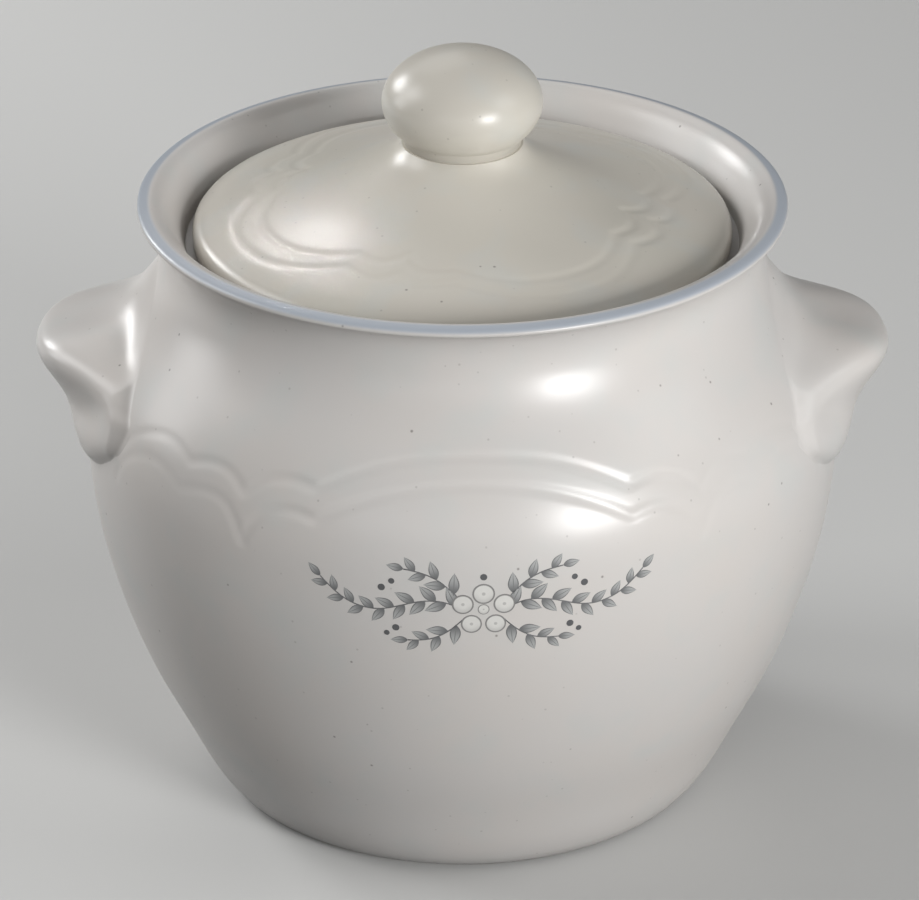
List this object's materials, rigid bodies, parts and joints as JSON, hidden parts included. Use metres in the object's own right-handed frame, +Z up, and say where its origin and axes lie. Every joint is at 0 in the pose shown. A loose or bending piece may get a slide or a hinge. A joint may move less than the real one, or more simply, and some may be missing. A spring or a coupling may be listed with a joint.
{
  "type": "stoneware bean pot",
  "caption": "Round-bellied stoneware bean pot with a flared rim, ear handles at its sides and a loose domed lid with a ball knob, seated on a ledge inside the rim.",
  "frame": {"origin": "middle of the foot, on the surface that the pot stands on", "axes": "+Z up along the pot's axis, +X through the right-hand handle, -Y towards the decorated front"},
  "size_m": [0.231, 0.2038, 0.2104],
  "materials": {
    "pot_glaze": "satin grey-white glaze with a pale blue band on the lip",
    "lid_glaze": "satin grey-white glaze, a little warmer than the pot"
  },
  "bodies": {
    "pot": {"pot_body": "pot_glaze", "handle_left": "pot_glaze", "handle_right": "pot_glaze"},
    "lid": {"lid": "lid_glaze", "lid_knob": "lid_glaze"}
  },
  "joints": [
    {"name": "lid_lift", "type": "slide", "parent": "pot", "child": "lid", "axis": [0, 0, 1], "range_m": [0, 0.06]}
  ]
}
